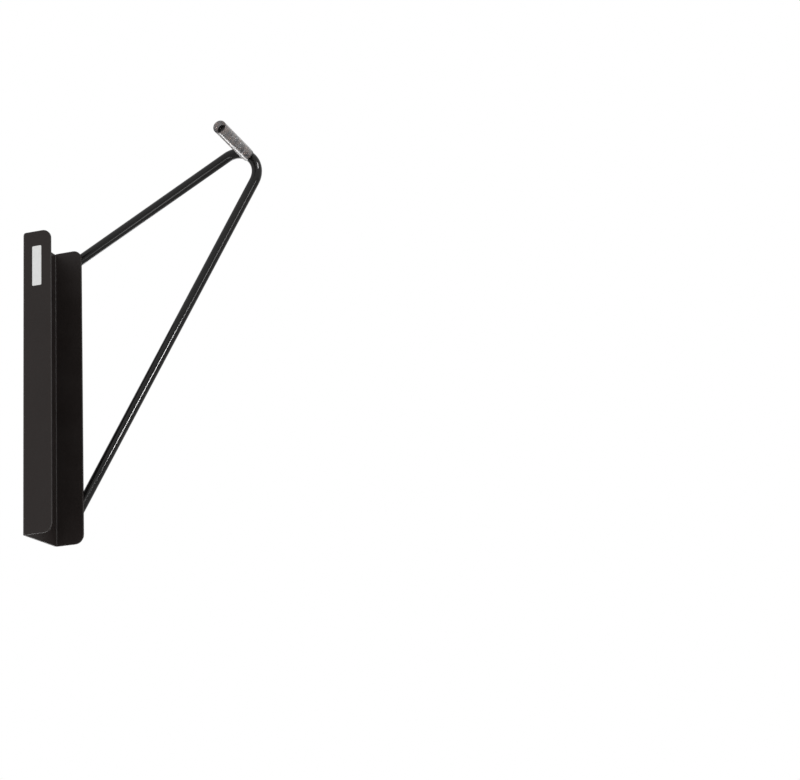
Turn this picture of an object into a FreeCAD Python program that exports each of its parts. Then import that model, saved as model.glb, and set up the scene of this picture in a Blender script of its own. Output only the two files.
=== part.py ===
import FreeCAD, Part

import math
import os
import re

import Sketcher

# Wall rack for one bicycle wheel: a folded steel tyre tray with a bent rod hook on one side.
#
# Frame: X points away from the wall, Y runs across the tray and Z is up. The origin is on
# the wall plane, at the middle of the tray's back face. Lengths are millimetres, angles degrees.

SAME_PLACE = 0.001  # points closer than this count as one
SHARP_COSINE = 0.5  # faces whose normals are at least 60 degrees apart meet at a sharp edge

DRIVING_SIZES = {
    # folded tray
    "tray_height": 296,
    "tray_width": 66,
    "tray_depth": 30,
    "sheet_gauge": 2,
    "fold_radius": 3,
    "corner_radius": 9,
    "top_back_drop": 3.8,
    "top_back_radius": 5,
    "edge_round": 0.5,
    "hole_spacing": 240,
    "hole_radius": 4,
    "hole_edge_round": 0.3,
    # bent rod: reach and rise place the centre of its one bend
    "rod_radius": 5.1,
    "bend_reach": 195,
    "bend_rise": 54.9,
    "bend_radius": 21.2,
    "arm_drop": 13.6,
    "strut_lift": 22.1,
    "rod_end_reach": 7,
    "rod_chamfer": 0.8,
    # peg across the mouth of the tray, and its sleeve
    "peg_angle": 52,
    "peg_foot": 3,
    "peg_recess": 7,
    "sleeve_length": 67,
    "sleeve_wall": 1.1,
    "sleeve_clearance": 0.29,
    "sleeve_edge": 0.4,
    "sleeve_gap": 0.3,
    # weld beads
    "peg_bead_leg": 1.1,
    "peg_bead_start": 1.5,
    "peg_bead_top": 1.6,
    "peg_bead_toe": 0.36,
    "bead_radius": 3,
    "bead_root": 1.7,
    "arm_bead_start": 1.5,
    "arm_bead_length": 10,
    "strut_bead_start": 5,
    "strut_bead_length": 23,
    "bead_end_round": 1.2,
    # sticker on the near side wall
    "label_width": 9.5,
    "label_height": 40,
    "label_thickness": 0.25,
    "label_inset": 10.7,
    "label_drop": 15.4,
    "label_corner": 1,
    # how far each cut runs past the solid it cuts
    "cut_margin": 1,
}

WORKED_OUT_SIZES = {
    "rod_plane": "tray_width / 2 + rod_radius",
    "rod_mid_depth": "tray_depth / 2",
    "bend_height": "tray_height / 2 + bend_rise",
    "arm_foot_height": "tray_height / 2 - arm_drop",
    "strut_foot_height": "strut_lift - tray_height / 2",
    "bend_run": "bend_reach - rod_mid_depth",
    # each run is the tangent from its foot, halfway across the side wall, to the bend
    "arm_span": "sqrt(bend_run ^ 2 + (bend_height - arm_foot_height) ^ 2)",
    "arm_angle": "atan2(bend_height - arm_foot_height; bend_run) + asin(bend_radius / arm_span)",
    "arm_tail": "(rod_mid_depth - rod_end_reach) / cos(arm_angle)",
    "arm_length": "sqrt(arm_span ^ 2 - bend_radius ^ 2) + arm_tail",
    "arm_end_height": "arm_foot_height - arm_tail * sin(arm_angle)",
    "strut_span": "sqrt(bend_run ^ 2 + (bend_height - strut_foot_height) ^ 2)",
    "strut_angle": "atan2(bend_height - strut_foot_height; bend_run) - asin(bend_radius / strut_span)",
    "strut_tail": "(rod_mid_depth - rod_end_reach) / cos(strut_angle)",
    "strut_length": "sqrt(strut_span ^ 2 - bend_radius ^ 2) + strut_tail",
    "strut_end_height": "strut_foot_height - strut_tail * sin(strut_angle)",
    "turn_angle": "180 deg + arm_angle - strut_angle",
    "bead_offset": "bead_root + bead_radius",
    "sleeve_bore_radius": "rod_radius + sleeve_clearance",
    "sleeve_radius": "sleeve_bore_radius + sleeve_wall",
    # distances along the peg, from the rod's plane towards the free end
    "peg_bead_end": "rod_radius + peg_bead_top",
    "peg_bead_round": "peg_bead_leg - peg_bead_toe",
    "sleeve_start": "peg_bead_end + sleeve_gap",
    "peg_length": "sleeve_start + sleeve_length - peg_recess",
}

doc = FreeCAD.newDocument("wall_rack")
sheet = doc.addObject("Spreadsheet::Sheet", "sizes")
sub_parts = []


def fill_sheet():
    """Write every size into the sheet: driving ones as plain numbers, the rest as formulas."""
    row = 0
    for alias, number in DRIVING_SIZES.items():
        row += 1
        sheet.set(f"A{row}", alias)
        sheet.set(f"B{row}", str(number))
        sheet.setAlias(f"B{row}", alias)
    for alias, formula in WORKED_OUT_SIZES.items():
        row += 1
        sheet.set(f"A{row}", alias)
        sheet.set(f"B{row}", "=" + formula)
        sheet.setAlias(f"B{row}", alias)
    doc.recompute()


def bound(formula):
    """The formula as an expression on the sheet's cells."""
    sizes = {**DRIVING_SIZES, **WORKED_OUT_SIZES}
    return re.sub(r"[a-z_]+", lambda m: "sizes." + m.group() if m.group() in sizes else m.group(), formula)


def near(a, b):
    return abs(a - b) < SAME_PLACE


def value(formula):
    """The formula's present value, as a plain number."""
    result = sheet.evalExpression(bound(formula))
    return float(getattr(result, "Value", result))


def new_body(name):
    body = doc.addObject("PartDesign::Body", name)
    body.Label = name
    sub_parts.append(body)
    return body


def place(body, x="0", y="0", z="0"):
    """Bind the body's place to the sheet."""
    for axis, formula in (("x", x), ("y", y), ("z", z)):
        body.setExpression(f"Placement.Base.{axis}", bound(formula))


def tilt(body, angle):
    """Turn the body about Y, so that its own X axis rises from the wall at the angle."""
    body.Placement.Rotation = FreeCAD.Rotation(FreeCAD.Vector(0, -1, 0), value(angle))
    body.setExpression("Placement.Rotation.Angle", bound(angle))


def new_sketch(body, name, role, offset="0"):
    """A sketch on one of the body's origin planes, moved along the plane's normal."""
    plane = next(f for f in body.Origin.OriginFeatures if f.Role == role)
    sketch = body.newObject("Sketcher::SketchObject", name)
    sketch.AttachmentSupport = [(plane, "")]
    sketch.MapMode = "FlatFace"
    sketch.setExpression("AttachmentOffset.Base.z", bound(offset))
    return sketch


def dimension(sketch, kind, *references, size):
    """Add a constraint whose size is bound to the sheet."""
    number = value(size)
    if kind == "Angle":
        number = math.radians(number)
    index = sketch.addConstraint(Sketcher.Constraint(kind, *references, number))
    sketch.setExpression(f"Constraints[{index}]", bound(size))


def fix_point(sketch, geometry, end, x, y):
    """Hold one point of the sketch at formula coordinates."""
    for kind, size, axis in (("DistanceX", x, -2), ("DistanceY", y, -1)):
        if near(value(size), 0):
            sketch.addConstraint(Sketcher.Constraint("PointOnObject", geometry, end, axis))
        else:
            dimension(sketch, kind, -1, 1, geometry, end, size=size)


def add_outline(sketch, corners):
    """A closed outline of straight lines through formula coordinates."""
    points = [FreeCAD.Vector(value(x), value(y), 0) for x, y in corners]
    first = sketch.GeometryCount
    count = len(corners)
    for index in range(count):
        sketch.addGeometry(Part.LineSegment(points[index], points[(index + 1) % count]))
    for index in range(count):
        after = first + (index + 1) % count
        sketch.addConstraint(Sketcher.Constraint("Coincident", first + index, 2, after, 1))
    for index, (x, y) in enumerate(corners):
        fix_point(sketch, first + index, 1, x, y)


def add_circle(sketch, x, y, radius):
    centre = FreeCAD.Vector(value(x), value(y), 0)
    index = sketch.addGeometry(Part.Circle(centre, FreeCAD.Vector(0, 0, 1), value(radius)))
    fix_point(sketch, index, 3, x, y)
    dimension(sketch, "Radius", index, size=radius)


def add_feature(body, kind, name, sketch, length=None, reverse=False, both_sides=False):
    """A pad or pocket of the sketch, or a groove turned about its vertical axis."""
    feature = body.newObject(f"PartDesign::{kind}", name)
    feature.Profile = sketch
    if kind == "Groove":
        feature.ReferenceAxis = (sketch, ["V_Axis"])
        feature.Angle = 360
    else:
        feature.setExpression("Length", bound(length))
        feature.SideType = "Symmetric" if both_sides else "One side"
    feature.Reversed = reverse
    doc.recompute()
    return feature


def cut_feature(body, kind, name, sketch, **settings):
    """A pocket or groove, checked to have taken something away."""
    before = body.Tip.Shape.Volume
    feature = add_feature(body, kind, name, sketch, **settings)
    if near(feature.Shape.Volume, before):
        raise RuntimeError(f"{name} cuts nothing")
    return feature


def dress_edges(body, kind, name, size, wanted):
    """Fillet or chamfer the edges of the body so far that the test picks."""
    base = body.Tip
    names = [f"Edge{i}" for i, edge in enumerate(base.Shape.Edges, 1) if wanted(edge)]
    if not names:
        raise RuntimeError(f"{name} finds no edge")
    feature = body.newObject(f"PartDesign::{kind}", name)
    feature.Base = (base, names)
    feature.setExpression("Radius" if kind == "Fillet" else "Size", bound(size))
    doc.recompute()
    return feature


def runs_along(edge, axis):
    """True for a straight edge parallel to X, Y or Z."""
    if not isinstance(edge.Curve, Part.Line):
        return False
    return near(abs(getattr(edge.Curve.Direction, axis)), 1)


def lies_at(edge, axis, place_along):
    """True where the whole edge has this one coordinate."""
    low = getattr(edge.BoundBox, axis + "Min")
    high = getattr(edge.BoundBox, axis + "Max")
    return near(low, place_along) and near(high, place_along)


def is_sharp(shape, edge):
    """True where the two faces at the edge meet at about a right angle."""
    faces = shape.ancestorsOfType(edge, Part.Face)
    if len(faces) != 2:
        return False
    middle = edge.valueAt((edge.FirstParameter + edge.LastParameter) / 2)
    normals = [face.normalAt(*face.Surface.parameter(middle)) for face in faces]
    return abs(normals[0].dot(normals[1])) < SHARP_COSINE


def is_round(edge):
    return isinstance(edge.Curve, Part.Circle)


def round_top_back(body):
    """Round the tray over, from side to side, where its top end meets its back.

    The arc runs from the top end down to the back and takes as much from each.
    """
    sketch = new_sketch(body, "top_back_corner", "XZ_Plane")
    top = "tray_height / 2"
    low = "tray_height / 2 - top_back_drop"
    corners = [
        ("0", low),
        ("-cut_margin", low),
        ("-cut_margin", f"{top} + cut_margin"),
        ("top_back_drop", f"{top} + cut_margin"),
        ("top_back_drop", top),
    ]
    points = [FreeCAD.Vector(value(x), value(z), 0) for x, z in corners]
    for start, end in zip(points, points[1:]):
        sketch.addGeometry(Part.LineSegment(start, end))
    radius = value("top_back_radius")
    half_turn = math.asin(points[0].distanceToPoint(points[-1]) / 2 / radius)
    inward = FreeCAD.Vector(1, -1, 0).normalize()
    centre = (points[0] + points[-1]) / 2 + inward * (radius * math.cos(half_turn))
    circle = Part.Circle(centre, FreeCAD.Vector(0, 0, 1), radius)
    outward = math.radians(135)
    arc = sketch.addGeometry(Part.ArcOfCircle(circle, outward - half_turn, outward + half_turn))
    for line in range(arc - 1):
        sketch.addConstraint(Sketcher.Constraint("Coincident", line, 2, line + 1, 1))
    sketch.addConstraint(Sketcher.Constraint("Coincident", arc - 1, 2, arc, 1))
    sketch.addConstraint(Sketcher.Constraint("Coincident", arc, 2, 0, 1))
    for line, (x, z) in enumerate(corners[:-1]):
        fix_point(sketch, line, 1, x, z)
    fix_point(sketch, arc, 1, *corners[-1])
    dimension(sketch, "Radius", arc, size="top_back_radius")
    cut_feature(body, "Pocket", "top_back_cut", sketch, length="tray_width + 2 * cut_margin", both_sides=True)


def make_tyre_tray():
    """Folded channel: a block with rounded back folds, hollowed from the front, then dressed."""
    body = new_body("tyre_tray")
    outside = new_sketch(body, "tray_outside", "XY_Plane")
    half_width = "tray_width / 2"
    add_outline(
        outside,
        [
            ("0", "-" + half_width),
            ("tray_depth", "-" + half_width),
            ("tray_depth", half_width),
            ("0", half_width),
        ],
    )
    add_feature(body, "Pad", "tray_block", outside, length="tray_height", both_sides=True)
    dress_edges(
        body, "Fillet", "outer_folds", "fold_radius", lambda e: runs_along(e, "z") and lies_at(e, "X", 0)
    )
    inside = new_sketch(body, "tray_inside", "XY_Plane")
    inner_half = "(tray_width / 2 - sheet_gauge)"
    add_outline(
        inside,
        [
            ("sheet_gauge", "-" + inner_half),
            ("tray_depth + fold_radius", "-" + inner_half),
            ("tray_depth + fold_radius", inner_half),
            ("sheet_gauge", inner_half),
        ],
    )
    cut_feature(body, "Pocket", "tray_hollow", inside, length="tray_height + 2 * cut_margin", both_sides=True)
    gauge = value("sheet_gauge")
    dress_edges(
        body,
        "Fillet",
        "inner_folds",
        "fold_radius - sheet_gauge",
        lambda e: runs_along(e, "z") and lies_at(e, "X", gauge),
    )
    front = value("tray_depth")
    dress_edges(
        body,
        "Fillet",
        "free_corners",
        "corner_radius",
        lambda e: runs_along(e, "y") and lies_at(e, "X", front),
    )
    holes = new_sketch(body, "screw_holes", "YZ_Plane")
    for height in ("hole_spacing / 2", "-hole_spacing / 2"):
        add_circle(holes, "0", height, "hole_radius")
    through = "2 * (sheet_gauge + cut_margin)"
    cut_feature(body, "Pocket", "screw_hole_pair", holes, length=through, both_sides=True)
    hole_radius = value("hole_radius")
    shape = body.Tip.Shape
    dress_edges(
        body,
        "Fillet",
        "rounded_edges",
        "edge_round",
        lambda e: is_sharp(shape, e) and not (is_round(e) and near(e.Curve.Radius, hole_radius)),
    )
    dress_edges(
        body,
        "Fillet",
        "hole_mouths",
        "hole_edge_round",
        lambda e: is_round(e) and near(e.Curve.Radius, hole_radius) and lies_at(e, "X", gauge),
    )
    round_top_back(body)


def make_hook_rod():
    """One rod swept along arm, bend and strut. Its own X axis is the arm, from its free end."""
    body = new_body("hook_rod")
    path = new_sketch(body, "rod_path", "XZ_Plane")
    arm, radius, turn = value("arm_length"), value("bend_radius"), value("turn_angle")
    centre = FreeCAD.Vector(arm, -radius, 0)
    leaving = FreeCAD.Rotation(FreeCAD.Vector(0, 0, 1), -turn)
    bend_end = centre + leaving.multVec(FreeCAD.Vector(0, radius, 0))
    strut_end = bend_end + leaving.multVec(FreeCAD.Vector(value("strut_length"), 0, 0))
    flat = FreeCAD.Vector(0, 0, 1)
    bend_middle = centre + FreeCAD.Rotation(flat, -turn / 2).multVec(FreeCAD.Vector(0, radius, 0))
    arm_start = FreeCAD.Vector(0, 0, 0)
    arm_end = FreeCAD.Vector(arm, 0, 0)
    path.addGeometry(Part.LineSegment(arm_start, arm_end))
    path.addGeometry(Part.Arc(bend_end, bend_middle, arm_end))
    path.addGeometry(Part.LineSegment(bend_end, strut_end))
    path.addConstraint(Sketcher.Constraint("Coincident", 0, 1, -1, 1))
    path.addConstraint(Sketcher.Constraint("Horizontal", 0))
    on_arc = {end: path.getPoint(1, end) for end in (1, 2)}
    arc_at_arm = min(on_arc, key=lambda end: on_arc[end].distanceToPoint(arm_end))
    arc_at_strut = 3 - arc_at_arm
    path.addConstraint(Sketcher.Constraint("Tangent", 0, 2, 1, arc_at_arm))
    path.addConstraint(Sketcher.Constraint("Tangent", 1, arc_at_strut, 2, 1))
    dimension(path, "Distance", 0, size="arm_length")
    dimension(path, "Radius", 1, size="bend_radius")
    dimension(path, "Angle", 1, size="turn_angle")
    dimension(path, "Distance", 2, size="strut_length")
    section = new_sketch(body, "rod_section", "YZ_Plane")
    add_circle(section, "0", "0", "rod_radius")
    doc.recompute()
    rod = body.newObject("PartDesign::AdditivePipe", "rod_sweep")
    rod.Profile = section
    rod.Spine = (path, ["Edge1", "Edge2", "Edge3"])
    doc.recompute()
    ends = [arm_start, FreeCAD.Vector(strut_end.x, 0, strut_end.y)]
    dress_edges(
        body,
        "Chamfer",
        "rod_end_chamfers",
        "rod_chamfer",
        lambda e: e.Closed and any(near(e.CenterOfMass.distanceToPoint(end), 0) for end in ends),
    )
    place(body, "rod_end_reach", "rod_plane", "arm_end_height")
    tilt(body, "arm_angle")


def place_at_bend(body):
    """Put the body's origin at the centre of the rod's bend, on the rod's plane."""
    place(body, "bend_reach", "rod_plane", "bend_height")


def add_peg_circle(sketch, radius):
    """A circle on the peg's axis, which crosses the rod's centre line at the peg's angle."""
    add_circle(sketch, "bend_radius * cos(peg_angle * 1 deg)", "bend_radius * sin(peg_angle * 1 deg)", radius)


def seat_on_bend(body, name):
    """Cut the body to sit on the bent rod: a groove with the bend's own ring shape."""
    ring = new_sketch(body, name + "_ring", "XY_Plane")
    add_circle(ring, "bend_radius", "0", "rod_radius")
    cut_feature(body, "Groove", name, ring)


def make_hook_peg():
    """Straight rod from the bend to just inside the sleeve's mouth, its foot shaped to the bend."""
    body = new_body("hook_peg")
    section = new_sketch(body, "peg_section", "XZ_Plane", offset="peg_foot")
    add_peg_circle(section, "rod_radius")
    add_feature(body, "Pad", "peg_bar", section, length="peg_length - peg_foot")
    tip = -value("peg_length")
    dress_edges(
        body, "Chamfer", "peg_tip_chamfer", "rod_chamfer", lambda e: e.Closed and lies_at(e, "Y", tip)
    )
    seat_on_bend(body, "peg_seat")
    place_at_bend(body)


def make_rim_sleeve():
    """Clear tube over the peg, open at its free end."""
    body = new_body("rim_sleeve")
    section = new_sketch(body, "sleeve_section", "XZ_Plane", offset="sleeve_start")
    add_peg_circle(section, "sleeve_radius")
    add_peg_circle(section, "sleeve_bore_radius")
    add_feature(body, "Pad", "sleeve_tube", section, length="sleeve_length")
    ends = [-value("sleeve_start"), -value("sleeve_start + sleeve_length")]
    dress_edges(
        body,
        "Fillet",
        "sleeve_edges",
        "sleeve_edge",
        lambda e: e.Closed and any(lies_at(e, "Y", end) for end in ends),
    )
    place_at_bend(body)


def make_peg_weld():
    """Bead round the peg's foot, resting on the bend."""
    body = new_body("peg_weld")
    outside = new_sketch(body, "peg_bead_outside", "XZ_Plane", offset="peg_bead_start")
    add_peg_circle(outside, "rod_radius + peg_bead_leg")
    add_feature(body, "Pad", "peg_bead", outside, length="peg_bead_end - peg_bead_start")
    ends = [-value("peg_bead_start"), -value("peg_bead_end")]
    dress_edges(
        body,
        "Fillet",
        "peg_bead_rounding",
        "peg_bead_round",
        lambda e: e.Closed and any(lies_at(e, "Y", end) for end in ends),
    )
    inside = new_sketch(body, "peg_bead_inside", "XZ_Plane")
    add_peg_circle(inside, "rod_radius")
    cut_feature(body, "Pocket", "peg_bead_bore", inside, length="peg_bead_end + cut_margin", reverse=True)
    seat_on_bend(body, "peg_bead_seat")
    place_at_bend(body)


def make_rod_weld(name, run, side):
    """One bead along the end of the arm or strut, on the tray's outer face: side 1 is over it, -1 under.

    The body's own X axis is the rod's centre line, measured from the rod's free end.
    """
    start = run + "_bead_start"
    length = run + "_bead_length"
    body = new_body(name)
    section = new_sketch(body, name + "_section", "YZ_Plane", offset=start)
    wall = "-rod_radius"
    middle = f"{side} * bead_offset"
    centre = FreeCAD.Vector(value(wall), value(middle), 0)
    low = FreeCAD.Vector(value(wall), value(f"{middle} - bead_radius"), 0)
    high = FreeCAD.Vector(value(wall), value(f"{middle} + bead_radius"), 0)
    circle = Part.Circle(centre, FreeCAD.Vector(0, 0, 1), value("bead_radius"))
    arc = section.addGeometry(Part.ArcOfCircle(circle, math.radians(-90), math.radians(90)))
    chord = section.addGeometry(Part.LineSegment(high, low))
    section.addConstraint(Sketcher.Constraint("Coincident", arc, 2, chord, 1))
    section.addConstraint(Sketcher.Constraint("Coincident", arc, 1, chord, 2))
    section.addConstraint(Sketcher.Constraint("Vertical", chord))
    fix_point(section, arc, 3, wall, middle)
    section.addConstraint(Sketcher.Constraint("PointOnObject", arc, 3, chord))
    dimension(section, "Radius", arc, size="bead_radius")
    doc.recompute()
    add_feature(body, "Pad", name + "_bead", section, length=length)
    ends = [value(start), value(f"{start} + {length}")]
    dress_edges(
        body,
        "Fillet",
        name + "_ends",
        "bead_end_round",
        lambda e: is_round(e) and any(lies_at(e, "X", end) for end in ends),
    )
    rod = new_sketch(body, name + "_rod", "YZ_Plane")
    add_circle(rod, "0", "0", "rod_radius")
    cut_feature(body, "Pocket", name + "_seat", rod, length=f"{start} + {length} + cut_margin", reverse=True)
    place(body, "rod_end_reach", "rod_plane", run + "_end_height")
    tilt(body, run + "_angle")


def make_label():
    """Small upright sticker on the near side wall's outer face."""
    body = new_body("label")
    outline = new_sketch(body, "label_outline", "XZ_Plane")
    add_outline(
        outline,
        [
            ("0", "0"),
            ("label_width", "0"),
            ("label_width", "label_height"),
            ("0", "label_height"),
        ],
    )
    add_feature(body, "Pad", "label_film", outline, length="label_thickness")
    dress_edges(body, "Fillet", "label_corners", "label_corner", lambda e: runs_along(e, "y"))
    place(body, "label_inset", "-tray_width / 2", "tray_height / 2 - label_drop - label_height")


def check_document():
    """Stop if anything in the document failed, or a sub-part has no sound shape."""
    for item in doc.Objects:
        if "Invalid" in item.State or "Error" in item.State:
            raise RuntimeError(f"{item.Label} failed: {item.State}")
    for body in sub_parts:
        if body.Shape.isNull() or not body.Shape.isValid() or not body.Shape.Solids:
            raise RuntimeError(f"{body.Label} has no sound shape")


def write_parts():
    os.makedirs("parts", exist_ok=True)
    for body in sub_parts:
        body.Shape.exportStep(f"parts/{body.Label}.step")
        print(f"{body.Label}: {len(body.Shape.Solids)} solid(s), {body.Shape.Volume:.1f} mm3")


fill_sheet()
make_tyre_tray()
make_hook_rod()
make_hook_peg()
make_rim_sleeve()
make_peg_weld()
for run in ("arm", "strut"):
    for word, bead_side in (("upper", 1), ("lower", -1)):
        make_rod_weld(f"{word}_{run}_weld", run, bead_side)
make_label()
doc.recompute()
check_document()
write_parts()
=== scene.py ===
import math

import bmesh
import bpy
import numpy as np
from mathutils import Matrix, Vector


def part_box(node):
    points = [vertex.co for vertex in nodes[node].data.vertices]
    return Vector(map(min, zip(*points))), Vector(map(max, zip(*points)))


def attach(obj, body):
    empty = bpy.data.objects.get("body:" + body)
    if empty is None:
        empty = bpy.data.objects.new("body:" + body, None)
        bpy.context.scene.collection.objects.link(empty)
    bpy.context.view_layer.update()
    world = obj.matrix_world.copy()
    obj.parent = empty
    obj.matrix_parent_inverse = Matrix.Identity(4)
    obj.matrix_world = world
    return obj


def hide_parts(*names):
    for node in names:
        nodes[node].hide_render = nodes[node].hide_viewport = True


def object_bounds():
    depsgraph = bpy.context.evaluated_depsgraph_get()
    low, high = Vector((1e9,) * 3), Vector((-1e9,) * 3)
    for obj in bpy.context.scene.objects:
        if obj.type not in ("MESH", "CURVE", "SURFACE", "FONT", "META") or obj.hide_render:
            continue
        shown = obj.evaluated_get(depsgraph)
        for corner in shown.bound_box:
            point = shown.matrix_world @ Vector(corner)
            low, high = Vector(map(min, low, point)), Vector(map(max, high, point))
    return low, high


# Looks for the bicycle wall rack. Everything is in metres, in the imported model's own frame:
# X points away from the wall, Y runs across the tray and Z is up.

MM = 0.001

# The photo's camera. It looks up, past the rack, at the wheel that the rack holds.
CAMERA_AIM = Vector((0.35859, 0.00176, -0.04977))
CAMERA_DISTANCE = 1.6005
CAMERA_AZIMUTH = math.radians(16.02)
CAMERA_ELEVATION = math.radians(-15.94)
CAMERA_ROLL = math.radians(-3.39)
CAMERA_LENS_MM = 80.24
CAMERA_SENSOR_MM = 36

# Weld ripples: crescents that overlap like scales. A crescent lags at its sides, by its bow times
# the square of the distance from the bead's middle line.
BEAD_VOXEL = 0.22 * MM
RIPPLE_PITCH = 1.25 * MM
STRAIGHT_RIPPLE_DEPTH = 0.2 * MM
STRAIGHT_RIPPLE_BOW = 0.22 / MM
RING_RIPPLE_DEPTH = 0.14 * MM
RING_RIPPLE_BOW = 0.12 / MM
RIPPLE_FRONT_SHARE = 0.12
RIPPLE_BACK_POWER = 1.6

# Stage.
FLOOR_RADIUS = 14.0
FLOOR_DROP = 0.5
NEAR_SIDE_LIGHT = 0.88
FAR_SIDE_LIGHT = 0.94

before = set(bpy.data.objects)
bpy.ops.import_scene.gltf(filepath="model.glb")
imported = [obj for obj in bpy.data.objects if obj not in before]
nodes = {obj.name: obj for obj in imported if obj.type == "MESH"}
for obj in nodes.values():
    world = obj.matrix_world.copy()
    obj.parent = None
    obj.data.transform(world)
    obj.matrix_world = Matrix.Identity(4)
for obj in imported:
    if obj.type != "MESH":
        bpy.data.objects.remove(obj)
cad_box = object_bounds()


# ---------------------------------------------------------------- material helpers


class Graph:
    """A material's node tree, with short calls for the nodes that are used most."""

    def __init__(self, name):
        self.material = bpy.data.materials.new(name)
        self.material.use_nodes = True
        self.tree = self.material.node_tree
        self.tree.nodes.clear()
        self.output = self.add("ShaderNodeOutputMaterial")
        self.shader = self.add("ShaderNodeBsdfPrincipled")
        self.link(self.shader.outputs["BSDF"], self.output.inputs["Surface"])
        self.place = self.add("ShaderNodeTexCoord").outputs["Object"]

    def add(self, kind, **settings):
        node = self.tree.nodes.new(kind)
        for key, value in settings.items():
            setattr(node, key, value)
        return node

    def link(self, source, target):
        self.tree.links.new(source, target)

    def feed(self, target, value):
        """Link the value if it is another node's output, or else set it as a number or colour."""
        if isinstance(value, bpy.types.NodeSocket):
            self.link(value, target)
        else:
            target.default_value = value

    def noise(self, size, detail=3, roughness=0.5, distortion=0):
        """Noise from 0 to 1 whose largest features are about the size, in metres."""
        node = self.add("ShaderNodeTexNoise")
        self.link(self.place, node.inputs["Vector"])
        node.inputs["Scale"].default_value = 1 / size
        node.inputs["Detail"].default_value = detail
        node.inputs["Roughness"].default_value = roughness
        node.inputs["Distortion"].default_value = distortion
        return node.outputs["Fac"]

    def cells(self, size):
        """The distance to the nearest of many scattered points, where 1 stands for the size."""
        node = self.add("ShaderNodeTexVoronoi")
        self.link(self.place, node.inputs["Vector"])
        node.inputs["Scale"].default_value = 1 / size
        return node.outputs["Distance"]

    def remap(self, value, low, high, to_low=0.0, to_high=1.0, smooth=False):
        """The value carried from one range to another, and held at the ends of it."""
        node = self.add("ShaderNodeMapRange", interpolation_type="SMOOTHSTEP" if smooth else "LINEAR")
        self.link(value, node.inputs["Value"])
        node.inputs["From Min"].default_value = low
        node.inputs["From Max"].default_value = high
        node.inputs["To Min"].default_value = to_low
        node.inputs["To Max"].default_value = to_high
        return node.outputs["Result"]

    def math(self, operation, a, b):
        node = self.add("ShaderNodeMath", operation=operation)
        self.feed(node.inputs[0], a)
        self.feed(node.inputs[1], b)
        return node.outputs["Value"]

    def blend(self, share, a, b):
        """Colour a where the share is 0 and colour b where it is 1."""
        node = self.add("ShaderNodeMix", data_type="RGBA")
        self.link(share, node.inputs["Factor"])
        self.feed(node.inputs["A"], a)
        self.feed(node.inputs["B"], b)
        return node.outputs["Result"]

    def bump(self, height, depth, strength=1.0, normal=None):
        """A normal from a height of 0 to 1, where 1 stands for the depth in metres."""
        node = self.add("ShaderNodeBump")
        self.link(height, node.inputs["Height"])
        node.inputs["Distance"].default_value = depth
        node.inputs["Strength"].default_value = strength
        if normal is not None:
            self.link(normal, node.inputs["Normal"])
        return node.outputs["Normal"]

    def edges(self, radius):
        """0 on flat ground, rising near edges and inner corners, within about the radius of them."""
        bevel = self.add("ShaderNodeBevel", samples=6)
        bevel.inputs["Radius"].default_value = radius
        geometry = self.add("ShaderNodeNewGeometry")
        dot = self.add("ShaderNodeVectorMath", operation="DOT_PRODUCT")
        self.link(bevel.outputs["Normal"], dot.inputs[0])
        self.link(geometry.outputs["Normal"], dot.inputs[1])
        return self.math("SUBTRACT", 1.0, dot.outputs["Value"])

    def set(self, **values):
        """Set or link the shader's sockets, named with underscores for spaces."""
        for key, value in values.items():
            self.feed(self.shader.inputs[key.replace("_", " ")], value)


# ---------------------------------------------------------------- materials


def tray_coat():
    """Satin black powder coat on folded sheet, warm and a little cloudy, thin along its edges, where
    the lighter colour is also a painted edge highlight.
    """
    dark = (0.0165, 0.0118, 0.0107, 1)
    light = (0.0203, 0.0152, 0.0141, 1)
    speckle = (0.029, 0.0235, 0.0215, 1)
    # Lighter edge colour: partly the real thin coat, partly a painted edge highlight.
    thin_coat_and_highlight = (0.115, 0.105, 0.099, 1)
    g = Graph("tray_coat")
    peel = g.noise(1.6 * MM, detail=2)
    grain = g.noise(0.35 * MM, detail=3, roughness=0.6)
    cloud = g.noise(34 * MM, detail=4, roughness=0.6)
    # Edge mask for the lighter edge colour, partly real wear and partly a painted highlight.
    edge_wear_and_highlight = g.remap(g.edges(0.7 * MM), 0.02, 0.25)
    edge_wear_and_highlight = g.math("MULTIPLY", edge_wear_and_highlight, g.remap(g.noise(6 * MM, detail=5), 0.34, 0.58))
    base = g.blend(g.remap(cloud, 0.3, 0.7), dark, light)
    base = g.blend(g.remap(grain, 0.45, 0.80), base, speckle)
    # Lightens the edges: real thin-coat wear mixed with a painted edge highlight.
    base = g.blend(g.math("MULTIPLY", edge_wear_and_highlight, 0.75), base, thin_coat_and_highlight)
    rough = g.remap(cloud, 0.3, 0.7, 0.40, 0.50)
    rough = g.math("ADD", rough, g.remap(grain, 0.3, 0.7, -0.04, 0.05))
    rough = g.math("SUBTRACT", rough, g.math("MULTIPLY", edge_wear_and_highlight, 0.14))
    normal = g.bump(peel, 0.030 * MM, 0.55)
    normal = g.bump(grain, 0.010 * MM, 0.5, normal)
    g.set(Base_Color=base, Roughness=rough, Normal=normal, Specular_IOR_Level=0.20)
    return g.material


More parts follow.
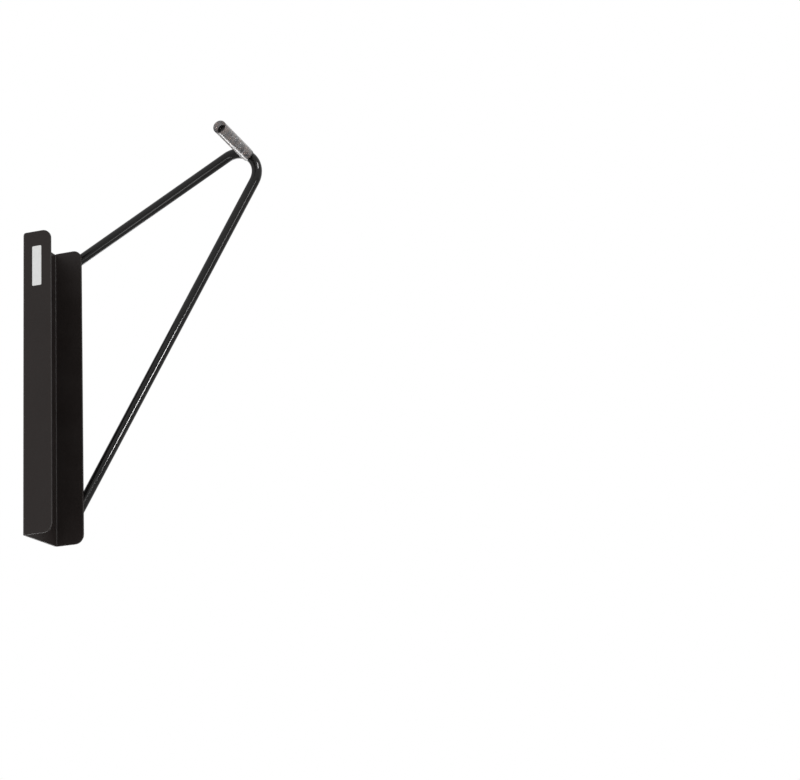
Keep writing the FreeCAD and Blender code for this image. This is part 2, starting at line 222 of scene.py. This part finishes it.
def rod_coat(name, peel_depth):
    """Gloss black powder coat: a smooth skin with a slow ripple and a few specks of dust."""
    dark = (0.0062, 0.0058, 0.0058, 1)
    light = (0.0120, 0.0112, 0.0110, 1)
    grain = (0.0185, 0.0170, 0.0165, 1)
    dust = (0.050, 0.047, 0.045, 1)
    g = Graph(name)
    peel = g.noise(5 * MM, detail=1)
    fine = g.noise(0.6 * MM, detail=2)
    cloud = g.noise(26 * MM, detail=3)
    specks = g.remap(g.cells(5 * MM), 0.03, 0.06, 1, 0, smooth=True)
    base = g.blend(g.remap(cloud, 0.3, 0.7), dark, light)
    base = g.blend(g.remap(fine, 0.5, 0.8), base, grain)
    base = g.blend(g.math("MULTIPLY", specks, 0.6), base, dust)
    rough = g.remap(cloud, 0.3, 0.7, 0.09, 0.13)
    rough = g.math("ADD", rough, g.remap(fine, 0.3, 0.7, -0.015, 0.02))
    rough = g.math("ADD", rough, g.math("MULTIPLY", specks, 0.25))
    normal = g.bump(peel, peel_depth, 0.5)
    normal = g.bump(fine, 0.0015 * MM, 0.3, normal)
    g.set(Base_Color=base, Roughness=rough, Normal=normal, Specular_IOR_Level=0.24)
    return g.material


def clear_vinyl():
    """Clear soft tube gone a little milky, with warm patches."""
    smoky = (0.24, 0.24, 0.25, 1)
    milky = (0.42, 0.41, 0.41, 1)
    warm = (0.44, 0.36, 0.33, 1)
    g = Graph("clear_vinyl")
    haze = g.noise(9 * MM, detail=2, roughness=0.5, distortion=0.8)
    patch = g.remap(g.noise(5 * MM, detail=1, distortion=0.5), 0.45, 0.60, smooth=True)
    tint = g.blend(g.remap(haze, 0.35, 0.65), smoky, milky)
    tint = g.blend(g.math("MULTIPLY", patch, 0.7), tint, warm)
    rough = g.remap(haze, 0.3, 0.7, 0.06, 0.12)
    clear = g.remap(haze, 0.3, 0.7, 0.66, 0.52)
    g.set(Base_Color=tint, Roughness=rough, Normal=g.bump(haze, 0.5 * MM, 0.35))
    g.set(Transmission_Weight=clear, IOR=1.40, Specular_IOR_Level=0.12)
    return g.material


def label_film():
    """Bare white sticker: a smooth film with faint mottle, greyer at its cut edge."""
    white = (0.91, 0.91, 0.905, 1)
    off_white = (0.87, 0.87, 0.865, 1)
    cut_edge = (0.62, 0.61, 0.59, 1)
    g = Graph("label_film")
    mottle = g.noise(3 * MM, detail=4)
    fibre = g.noise(0.25 * MM, detail=2)
    edge = g.remap(g.edges(0.5 * MM), 0.02, 0.3)
    base = g.blend(g.remap(mottle, 0.3, 0.7), off_white, white)
    base = g.blend(g.math("MULTIPLY", edge, 0.35), base, cut_edge)
    g.set(Base_Color=base, Roughness=g.remap(mottle, 0.3, 0.7, 0.34, 0.46))
    g.set(Normal=g.bump(fibre, 0.008 * MM, 0.4))
    return g.material


# ---------------------------------------------------------------- mesh helpers


def dress(node, material):
    """Give a CAD node its material."""
    nodes[node].data.materials.clear()
    nodes[node].data.materials.append(material)


def new_piece(name, mesh, material, slot_name, *stands_for):
    """Put in a finished mesh, riding on the rack in place of the CAD nodes that it stands for."""
    piece = bpy.data.objects.new(name, mesh)
    bpy.context.scene.collection.objects.link(piece)
    mesh.materials.clear()
    mesh.materials.append(material)
    for polygon in mesh.polygons:
        polygon.use_smooth = True
    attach(piece, "root")
    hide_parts(*stands_for)


def remeshed_copy(node, voxel):
    """The CAD node's shape as an even mesh of small faces."""
    twin = bpy.data.objects.new(node + "_copy", nodes[node].data.copy())
    bpy.context.scene.collection.objects.link(twin)
    remesh = twin.modifiers.new("even", "REMESH")
    remesh.mode = "VOXEL"
    remesh.voxel_size = voxel
    evaluated = twin.evaluated_get(bpy.context.evaluated_depsgraph_get())
    mesh = bpy.data.meshes.new_from_object(evaluated)
    bpy.data.objects.remove(twin)
    return mesh


def vertex_array(mesh):
    """The mesh's points, one to a row."""
    points = np.empty(len(mesh.vertices) * 3, np.float32)
    mesh.vertices.foreach_get("co", points)
    return points.reshape(-1, 3).astype(float)


def normal_array(mesh):
    """The way that the mesh faces at each of its points, one to a row."""
    return np.array([v.normal for v in mesh.vertices])


# ---------------------------------------------------------------- weld beads


def ripple(travel):
    """How deep the skin lies below the crest of its ripple, from 0 to 1: steep front, slow back."""
    phase = travel / RIPPLE_PITCH % 1
    return (1 - phase) ** RIPPLE_BACK_POWER * np.clip(phase / RIPPLE_FRONT_SHARE, 0, 1)


def add_bead(node, mesh, points, depth, material):
    """Put in the node's bead: its mesh with each point moved inwards by its depth."""
    points = points - normal_array(mesh) * depth[:, None]
    mesh.vertices.foreach_set("co", points.astype(np.float32).ravel())
    new_piece(node + "_bead", mesh, material, "weld_coat", node)


def straight_bead(node, material):
    """A bead beside the rod, laid as a row of overlapping crescents along its length."""
    mesh = remeshed_copy(node, BEAD_VOXEL)
    points = vertex_array(mesh)
    offset = points - points.mean(0)
    along = np.linalg.svd(offset, full_matrices=False)[2][0]
    along = along * np.sign(along[0])
    distance = offset @ along
    across = np.linalg.norm(offset - np.outer(distance, along), axis=1)
    travel = distance + STRAIGHT_RIPPLE_BOW * across ** 2
    add_bead(node, mesh, points, STRAIGHT_RIPPLE_DEPTH * ripple(travel), material)


def ring_bead(node, around, material):
    """A bead round a peg along Y: the same crescents, laid round the axis of the other node."""
    low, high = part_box(around)
    axis = (low + high) / 2
    mesh = remeshed_copy(node, BEAD_VOXEL)
    points = vertex_array(mesh)
    side_x = points[:, 0] - axis.x
    side_z = points[:, 2] - axis.z
    outline = 2 * math.pi * np.hypot(side_x, side_z).max()
    crescents = round(outline / RIPPLE_PITCH)
    travel = np.arctan2(side_z, side_x) / (2 * math.pi) * crescents * RIPPLE_PITCH
    travel = travel + RING_RIPPLE_BOW * (points[:, 1] - points[:, 1].mean()) ** 2
    add_bead(node, mesh, points, RING_RIPPLE_DEPTH * ripple(travel), material)


# ---------------------------------------------------------------- stage, light and camera


def make_floor():
    """Large pale floor that fades out at its rim, seen from above only."""
    pale = (0.84, 0.84, 0.835, 1)
    paler = (0.88, 0.88, 0.875, 1)
    mesh = bpy.data.meshes.new("floor")
    work = bmesh.new()
    bmesh.ops.create_circle(work, cap_ends=True, segments=64, radius=FLOOR_RADIUS)
    work.to_mesh(mesh)
    work.free()
    floor = bpy.data.objects.new("floor", mesh)
    floor.location = (0, 0, cad_box[0].z - FLOOR_DROP)
    bpy.context.scene.collection.objects.link(floor)
    g = Graph("floor_paint")
    mottle = g.noise(0.6, detail=3)
    g.set(Base_Color=g.blend(mottle, pale, paler), Roughness=0.7)
    clear = g.add("ShaderNodeBsdfTransparent")
    length = g.add("ShaderNodeVectorMath", operation="LENGTH")
    g.link(g.place, length.inputs[0])
    rim = g.remap(length.outputs["Value"], 0.25 * FLOOR_RADIUS, 0.9 * FLOOR_RADIUS, smooth=True)
    below = g.add("ShaderNodeNewGeometry").outputs["Backfacing"]
    unseen = g.math("MAXIMUM", rim, below)
    mix = g.add("ShaderNodeMixShader")
    g.link(unseen, mix.inputs["Fac"])
    g.link(g.shader.outputs["BSDF"], mix.inputs[1])
    g.link(clear.outputs["BSDF"], mix.inputs[2])
    g.link(mix.outputs["Shader"], g.output.inputs["Surface"])
    mesh.materials.append(g.material)


def make_world():
    """Even studio light, a little dimmer on the near side. The camera, gloss and glass see white."""
    world = bpy.data.worlds.new("studio")
    bpy.context.scene.world = world
    world.use_nodes = True
    tree = world.node_tree
    tree.nodes.clear()
    add, link = tree.nodes.new, tree.links.new
    output = add("ShaderNodeOutputWorld")
    split = add("ShaderNodeSeparateXYZ")
    link(add("ShaderNodeTexCoord").outputs["Generated"], split.inputs["Vector"])
    level = add("ShaderNodeMapRange")
    level.interpolation_type = "SMOOTHSTEP"
    link(split.outputs["Y"], level.inputs["Value"])
    level.inputs["From Min"].default_value = -0.9
    level.inputs["From Max"].default_value = 0.9
    level.inputs["To Min"].default_value = NEAR_SIDE_LIGHT
    level.inputs["To Max"].default_value = FAR_SIDE_LIGHT
    lit = add("ShaderNodeBackground")
    link(level.outputs["Result"], lit.inputs["Strength"])
    white = add("ShaderNodeBackground")
    white.inputs["Color"].default_value = (1, 1, 1, 1)
    path = add("ShaderNodeLightPath")
    seen = path.outputs["Is Camera Ray"]
    for ray in ("Is Glossy Ray", "Is Transmission Ray"):
        either = add("ShaderNodeMath")
        either.operation = "MAXIMUM"
        link(seen, either.inputs[0])
        link(path.outputs[ray], either.inputs[1])
        seen = either.outputs["Value"]
    mix = add("ShaderNodeMixShader")
    link(seen, mix.inputs["Fac"])
    link(lit.outputs["Background"], mix.inputs[1])
    link(white.outputs["Background"], mix.inputs[2])
    link(mix.outputs["Shader"], output.inputs["Surface"])


def add_lamp(name, direction, distance, size, brightness, gloss=False):
    """An area lamp that faces the rack's middle from the direction.

    Its power grows with its area, so the same brightness looks the same at any size. It lights
    surfaces without showing in their gloss, or with gloss it shows there and nowhere else.
    """
    centre = (cad_box[0] + cad_box[1]) / 2
    toward = Vector(direction).normalized()
    lamp = bpy.data.lights.new(name, "AREA")
    lamp.shape = "RECTANGLE"
    lamp.size, lamp.size_y = size
    lamp.energy = brightness * math.pi * size[0] * size[1]
    holder = bpy.data.objects.new(name, lamp)
    holder.location = centre + toward * distance
    holder.rotation_mode = "QUATERNION"
    holder.rotation_quaternion = (-toward).to_track_quat("-Z", "Y")
    holder.visible_camera = False
    holder.visible_diffuse = not gloss
    holder.visible_glossy = gloss
    holder.visible_transmission = False
    bpy.context.scene.collection.objects.link(holder)


def make_lamps():
    """Strips draw lines of light along the rod, and wide lamps give the faces soft form."""
    add_lamp("strip_high", (0.865, -0.443, -0.237), 0.97, (0.10, 0.36), 14, gloss=True)
    add_lamp("strip_middle", (0.683, -0.573, -0.462), 0.925, (0.09, 0.22), 110, gloss=True)
    add_lamp("strip_low", (0.264, -0.647, -0.715), 0.7, (0.12, 0.4), 5, gloss=True)
    add_lamp("glint_on_bend", (0.694, -0.411, 0.592), 1.1, (0.3, 0.3), 22, gloss=True)
    add_lamp("sheen_below", (-0.265, 0.924, -0.276), 1.7, (0.9, 0.4), 6, gloss=True)
    add_lamp("soft_left_top", (-0.75, -0.75, 0.75), 2.0, (1.5, 1.5), 0.6)
    add_lamp("soft_back", (0.5, 0.9, 0.7), 2.2, (1.4, 1.4), 0.9)


def make_camera():
    """The photo's camera, rolled a little."""
    data = bpy.data.cameras.new("camera")
    data.sensor_width = CAMERA_SENSOR_MM
    data.lens = CAMERA_LENS_MM
    data.clip_start = 0.01
    data.clip_end = 100
    camera = bpy.data.objects.new("camera", data)
    back = Vector((
        math.sin(CAMERA_AZIMUTH) * math.cos(CAMERA_ELEVATION),
        -math.cos(CAMERA_AZIMUTH) * math.cos(CAMERA_ELEVATION),
        math.sin(CAMERA_ELEVATION),
    ))
    camera.location = CAMERA_AIM + back * CAMERA_DISTANCE
    level = (-back).to_track_quat("-Z", "Y").to_matrix()
    camera.rotation_euler = (level @ Matrix.Rotation(CAMERA_ROLL, 3, "Z")).to_euler()
    bpy.context.scene.collection.objects.link(camera)
    bpy.context.scene.camera = camera


# ---------------------------------------------------------------- put it together

rod_finish = rod_coat("rod_coat", peel_depth=0.03 * MM)
weld_finish = rod_coat("weld_coat", peel_depth=0.05 * MM)
dress("tyre_tray", tray_coat())
dress("hook_rod", rod_finish)
dress("hook_peg", rod_finish)
dress("rim_sleeve", clear_vinyl())
dress("label", label_film())
for place in ("upper", "lower"):
    for run in ("arm", "strut"):
        straight_bead(f"{place}_{run}_weld", weld_finish)
ring_bead("peg_weld", "hook_peg", weld_finish)

make_floor()
make_world()
make_lamps()
make_camera()
bpy.context.scene.view_settings.view_transform = "Standard"
